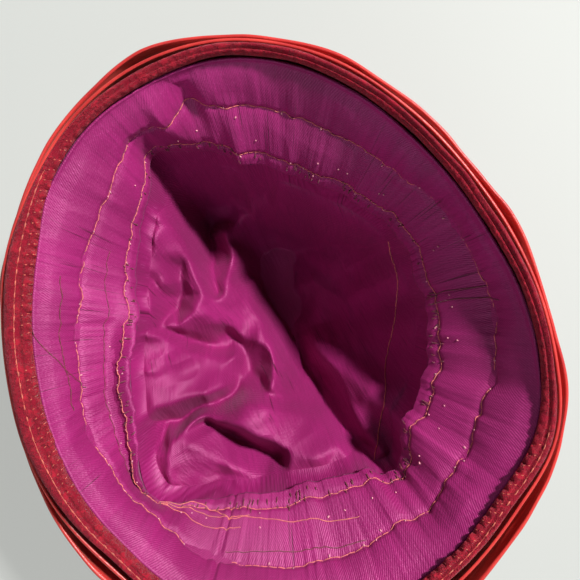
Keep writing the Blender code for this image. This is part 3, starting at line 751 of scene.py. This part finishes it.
tip_count = 218
tucked_rings = 4
tip_flat_radius = 0.088
square = np.linspace(-1.0, 1.0, tip_count + 1)
tip_theta, tip_reach = squared_disc(*np.meshgrid(square, square))
inner_reach = 1.0 - 2.0 * tucked_rings / tip_count
tip_radius = np.clip(tip_reach / inner_reach, 0.0, 1.0) * crown_rim(tip_theta)
tip_x, tip_y = tip_radius * np.cos(tip_theta), tip_radius * np.sin(tip_theta)
tip_z = crown_height(tip_x, tip_y)
below_hem = lining_thick + seam_gap
raised = np.clip((tip_reach - inner_reach) / (1.0 - inner_reach) * 1.5 - 0.5, 0.0, 1.0)
raised = raised * (below_hem + hem_overlap) - below_hem
behind = band_inside(tip_theta, hem_depth - np.maximum(raised, 0.0)) + lining_thick + hem_ease
tucked = tip_reach > inner_reach + 1e-9
tip_radius = np.where(tucked, behind, tip_radius)
tip_z = np.where(tucked, hat_height - hem_depth + raised, tip_z)
tip_points = place(tip_radius, tip_theta, tip_z)
tip_flat = np.stack([np.cos(tip_theta), np.sin(tip_theta)], axis=-1)
tip_flat = tip_flat * tip_reach[..., None] * tip_flat_radius
lining_tip = cloth_mesh("lining_tip_cloth", tip_points, uv=tip_flat, wrap=False)
lining_tip.data.materials.append(lining_material)
backing = lining_tip.modifiers.new("backing", "SOLIDIFY")
backing.thickness = lining_thick
backing.offset = -1.0
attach(lining_tip, "root")
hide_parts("lining_tip")

# Stitches and threads of the lining.
# Cotton sewing thread in running stitches along both rows and the hem, two rows across the
# crown, thread ends that lie loose on the satin, and pale knots along the hem.


def threads(name, paths, ups, thick, material):
    """Round threads along paths, an array of thread by point by xyz. Each ring is spanned by up
    and by the cross product of up and the way the thread runs, and both ends close to a point."""
    way = np.gradient(paths, axis=1)
    side = np.cross(ups, way)
    side /= np.linalg.norm(side, axis=-1, keepdims=True) + 1e-12
    up = np.cross(way, side)
    up /= np.linalg.norm(up, axis=-1, keepdims=True) + 1e-12
    turn = np.linspace(0.0, 2.0 * np.pi, 6, endpoint=False)[:, None]
    full = np.ones(paths.shape[1])
    full[[0, -1]] = 0.0
    ring = np.cos(turn) * side[..., None, :] + np.sin(turn) * up[..., None, :]
    points = paths[..., None, :] + thick / 2.0 * full[:, None, None] * ring
    count, length = paths.shape[:2]
    grid = np.arange(count * length * 6).reshape(count, length, 6)
    next_column = np.roll(grid, -1, axis=2)
    quads = [grid[:, :-1], next_column[:, :-1], next_column[:, 1:], grid[:, 1:]]
    mesh = bpy.data.meshes.new(name)
    mesh.from_pydata(points.reshape(-1, 3), [], np.stack(quads, axis=-1).reshape(-1, 4))
    mesh.materials.append(material)
    piece = finished(name, mesh, 1e-6)
    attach(piece, "root")
    return piece


def on_surface(surface, u, v, lift):
    """Points lift metres above surface(u, v), and the unit normals there: the cross product of
    the steps that a small change of u and of v makes."""
    step = 2e-5
    here = surface(u, v)
    normal = np.cross(surface(u + step, v) - here, surface(u, v + step) - here)
    normal /= np.linalg.norm(normal, axis=-1, keepdims=True)
    return here + normal * lift[..., None], normal


def band_point(turn, drop):
    """The side lining at an angle, given in head radii of arc, and a depth."""
    theta = turn / head_radius
    return place(band_surface(theta, drop), theta, band_level(theta, drop))


def crown_point(x, y):
    """The crown lining at x, y."""
    return place(np.hypot(x, y), np.arctan2(y, x), crown_height(x, y))


def thread_dye(name, colour):
    """Twisted cotton thread: a colour that pales and darkens every few stitches."""
    dye = Dye(name, roughness=0.55, sheen_weight=0.3)
    worn = dye.noise(420.0, 2.0).between(0.3, 0.7)
    base = dye.mix(worn, tuple(0.62 * part for part in colour), colour)
    return dye.finish(base_color=base, normal=dye.bump(dye.noise(2600.0, 1.0), 0.0002, 0.5))


def running(surface, u, v, thick, pitch, buried, seed):
    """Path and normals of a running stitch along u, v: it rises and dips by a sine of pitch, and
    strays a little to each side. buried is the share of each stitch that runs below the cloth."""
    gone = np.concatenate([[0.0], np.cumsum(np.hypot(np.diff(u), np.diff(v)))])
    stray = lattice_noise(gone * 330.0, 0.5, seed, 512)
    uneven = gone + 0.3 * pitch * lattice_noise(gone * 150.0, 3.5, seed, 512)
    lift = thick * (0.3 + 1.1 * (np.sin(2.0 * np.pi * uneven / pitch) - np.cos(np.pi * (1 - buried))))
    return on_surface(surface, u, v + 0.00035 * stray, np.clip(lift, -1.2 * thick, 0.45 * thick))


def smooth_path(corners, count):
    """An open curve through the corners, read at count places: straight runs blurred once by a Hann
    window.
    """
    corners = np.array(corners, float)
    gone = np.concatenate([[0.0], np.cumsum(np.hypot(*np.diff(corners, axis=0).T))])
    at = np.linspace(0.0, gone[-1], count)
    path = np.stack([np.interp(at, gone, corners[:, 0]), np.interp(at, gone, corners[:, 1])])
    blur = np.hanning(count // 6 * 2 + 1)
    padded = np.pad(path, ((0, 0), (len(blur) // 2,) * 2), mode="reflect", reflect_type="odd")
    return np.stack([np.convolve(line, blur / blur.sum(), mode="valid") for line in padded])


light_thread = thread_dye("light_thread", (0.70, 0.16, 0.14))
dark_thread = thread_dye("dark_thread", (0.17, 0.006, 0.030))

# Rows on the side lining: name, angles from and to in degrees, depth at each, thread, thickness,
# length of a stitch.
band_rows_sewn = (
    ("row_stitches", -180, 180, row_depth, row_depth, light_thread, 0.00034, 0.0031),
    ("hem_stitches", -180, 180, hem_row, hem_row, light_thread, 0.00036, 0.0027),
    ("basting", 139, 176, 0.0105, 0.0125, dark_thread, 0.00040, 0.0050),
    ("left_row", 128, 205, 0.0235, 0.0250, dark_thread, 0.00030, 0.0060),
)
for name, begin, end, drop_begin, drop_end, thread, thick, pitch in band_rows_sewn:
    turns = np.linspace(np.radians(begin), np.radians(end), int((end - begin) * 8)) * head_radius
    drops = np.linspace(drop_begin, drop_end, len(turns))
    path, up = running(band_point, turns, drops, thick, pitch, 0.35, 61)
    row_piece = threads(name, path[None], up[None], thick, thread)

# Threads lying on the side lining: angle and share of the way from the stitch row to the hem at
# each point, shares under 0 being above the row.
loose_threads = (
    (light_thread, ((-150, 0.62), (-138, 0.36), (-124, 0.42))),
    (light_thread, ((-150, 0.72), (-136, 0.56), (-120, 0.60), (-100, 0.42), (-89, 0.30))),
    (light_thread, ((-149, 0.84), (-138, 0.86), (-127, 0.52), (-122, 0.62))),
    (dark_thread, ((-127, 0.10), (-112, 0.16), (-90, 0.05))),
    (dark_thread, ((152, -0.92), (166, -0.30), (171, 0.06))),
    (dark_thread, ((-12, 0.02), (-11, 0.55), (-13, 0.95))),
    (dark_thread, ((-16, -0.30), (-14, 0.40), (-15, 0.90))),
)
span = hem_depth - row_depth
for index, (thread, points) in enumerate(loose_threads):
    angles, shares = smooth_path([(angle / 30.0, share) for angle, share in points], 160)
    turns = np.radians(angles * 30.0) * head_radius
    lift = np.full_like(turns, 0.00012)
    path, up = on_surface(band_point, turns, row_depth + shares * span, lift)
    loose = threads(f"loose_thread_{index}", path[None], up[None], 0.00034, thread)

# Rows sewn across the crown lining, in shares of head_radius.
crown_rows = (
    ((0.752, 0.225), (0.800, 0.05), (0.790, -0.137), (0.682, -0.405), (0.537, -0.591), (0.376, -0.745)),
    ((0.640, 0.15), (0.605, -0.09), (0.500, -0.26), (0.395, -0.392), (0.290, -0.553), (0.150, -0.740)),
)
for index, points in enumerate(crown_rows):
    x, y = smooth_path(points, 420) * head_radius
    path, up = running(crown_point, x, y, 0.00042, 0.0036, 0.30, 71 + index)
    row_piece = threads(f"crown_row_{index}", path[None], up[None], 0.00042, light_thread)

# Tufts and knots: short thread ends standing across the hem, seeded.
seeds = np.random.default_rng(81)
tuft_turn = seeds.uniform(-np.pi, np.pi, 190) * head_radius
tuft_drop = hem_row + seeds.uniform(-0.0010, 0.0024, 190)
tuft_way = np.linspace(-0.5, 0.5, 5) * seeds.uniform(0.0009, 0.0024, (190, 1))
tuft_lean = seeds.uniform(-0.4, 0.4, (190, 1))
path, up = on_surface(
    band_point,
    tuft_turn[:, None] + tuft_way * tuft_lean,
    np.minimum(tuft_drop[:, None] + tuft_way, hem_depth - 1e-4),
    np.array([-0.0001, 0.0002, 0.0004, 0.0002, -0.0001]) + 0 * tuft_way,
)
tufts = threads("hem_tufts", path, up, 0.00042, dark_thread)
pale_thread = thread_dye("pale_thread", (0.80, 0.30, 0.38))
knot_turn = seeds.uniform(-np.pi, np.pi, (110, 1)) * head_radius
knot_row = seeds.choice([row_depth, hem_row, hem_row - 0.005], (110, 1))
knot_way = np.linspace(-0.5, 0.5, 5) * 0.0008
path, up = on_surface(
    band_point,
    knot_turn + knot_way * seeds.uniform(-1, 1, (110, 1)),
    knot_row + seeds.normal(0.0, 0.0006, (110, 1)) + knot_way * 0.6,
    np.full((110, 5), 0.00018),
)
knots = threads("hem_knots", path, up, 0.00055, pale_thread)

# Stitches of the velvet facing.
# A machine row of orange thread along the middle of the facing, and hand whipping over its lip
# where the lip puckers.


def facing_point(turn, across):
    """The top of the velvet edge at an arc length and a share of its width."""
    down = np.interp(across, edge_shape[1:9, 0], edge_shape[1:9, 1])
    return edge_point(turn / head_radius, across, down)


facing_thread = thread_dye("facing_thread", (0.62, 0.12, 0.07))
for index, (begin, end) in enumerate(((118, 236), (-84, -42))):
    facing_turn = np.radians(np.linspace(begin, end, (end - begin) * 8)) * head_radius
    path, up = running(facing_point, facing_turn, 0.50 + 0 * facing_turn, 0.00040, 0.0040, 0.35, 91)
    facing_row = threads(f"facing_row_{index}", path[None, ::-1], up[None, ::-1], 0.00040, facing_thread)
whip_turn = []
for angle, half in lip_puckers:
    whip_turn.append(np.radians(np.arange(angle - half, angle + half, 2.3)))
whip_turn = np.concatenate(whip_turn)[:, None] * head_radius
whip_way = np.linspace(0.0, 1.0, 6)
path, up = on_surface(
    facing_point,
    whip_turn + whip_way * 0.0012,
    0.02 + 0.26 * whip_way + 0 * whip_turn,
    np.array([-0.0002, 0.0001, 0.0002, 0.0002, 0.0001, -0.0003]) + 0 * whip_turn,
)
whipping = threads("lip_whipping", path, up, 0.00042, facing_thread)

# Table, window and camera.
# A pale table, a small window light, a wide weak light that stands for what the room throws back,
# a bright room, and the camera close above the opening, turned so that the hat's long axis leans
# as in the photograph.
bpy.ops.mesh.primitive_plane_add(size=6.0, location=(0.0, 0.0, 0.0))
table = bpy.context.object
table.name = "table"
plain = Dye("table", roughness=0.7, emission_strength=0.40)
plain.shader.inputs["Emission Color"].default_value = (0.98, 1.0, 0.95, 1.0)
table.data.materials.append(plain.finish(base_color=(0.21, 0.22, 0.215)))

room = bpy.data.worlds.new("room")
bpy.context.scene.world = room
room.use_nodes = True
walls = room.node_tree.nodes["Background"]
walls.inputs["Color"].default_value = (0.94, 0.97, 1.0, 1.0)
direction = room.node_tree.nodes.new("ShaderNodeTexCoord").outputs["Generated"]
height = room.node_tree.nodes.new("ShaderNodeSeparateXYZ")
room.node_tree.links.new(direction, height.inputs["Vector"])
overhead = room.node_tree.nodes.new("ShaderNodeMapRange")
overhead.interpolation_type = "SMOOTHSTEP"
for key, value in {"From Min": 0.15, "From Max": 0.75, "To Min": 0.60, "To Max": 0.05}.items():
    overhead.inputs[key].default_value = value
room.node_tree.links.new(height.outputs["Z"], overhead.inputs["Value"])
room.node_tree.links.new(overhead.outputs["Result"], walls.inputs["Strength"])
bpy.context.scene.view_settings.view_transform = "Standard"


def aim(piece, place_at, look_at, up):
    """Puts piece at a point with its -Z towards look_at and its +Y as near up as it can be."""
    back = np.array(place_at, float) - np.array(look_at, float)
    back /= np.linalg.norm(back)
    right = np.cross(up, back)
    right /= np.linalg.norm(right)
    matrix = np.eye(4)
    matrix[:3, :3] = np.stack([right, np.cross(back, right), back], axis=1)
    matrix[:3, 3] = place_at
    piece.matrix_world = matrix.T.tolist()


light_away = 1.6
opening = np.array([0.0, 0.0, 0.05])


def square_light(name, turn, rise, size, power, colour, above):
    """A square area light turned towards the opening. It stands light_away metres from a point
    on the hat's axis above the table, by an angle round the hat and an angle up, in degrees."""
    turn, rise = np.radians(turn), np.radians(rise)
    lamp = bpy.data.lights.new(name, "AREA")
    lamp.shape = "RECTANGLE"
    lamp.size, lamp.size_y = size, size
    lamp.energy = power
    lamp.color = colour
    piece = bpy.data.objects.new(name, lamp)
    bpy.context.scene.collection.objects.link(piece)
    way = np.array([np.cos(rise) * np.cos(turn), np.cos(rise) * np.sin(turn), np.sin(rise)])
    aim(piece, light_away * way + (0, 0, above), opening, (0, 0, 1))


square_light("window", 12.0, 50.0, 0.16, 46.0, (1.0, 0.98, 0.95), 0.05)
square_light("bounce", -125.0, 45.0, 0.9, 5.0, (0.95, 1.0, 0.97), 0.0)

sensor_width, photo_width, focal_pixels = 36.0, 580.0, 569.0
camera_data = bpy.data.cameras.new("camera")
camera_data.sensor_width = sensor_width
camera_data.lens = sensor_width * focal_pixels / photo_width
camera_data.clip_start = 0.01
camera = bpy.data.objects.new("camera", camera_data)
bpy.context.scene.collection.objects.link(camera)
camera_at = np.array([0.0169, 0.0074, 0.3013])
aim(camera, camera_at, camera_at + (-0.01944, 0.02069, -1.0), (0.4226, 0.9063, 0.0))
bpy.context.scene.camera = camera
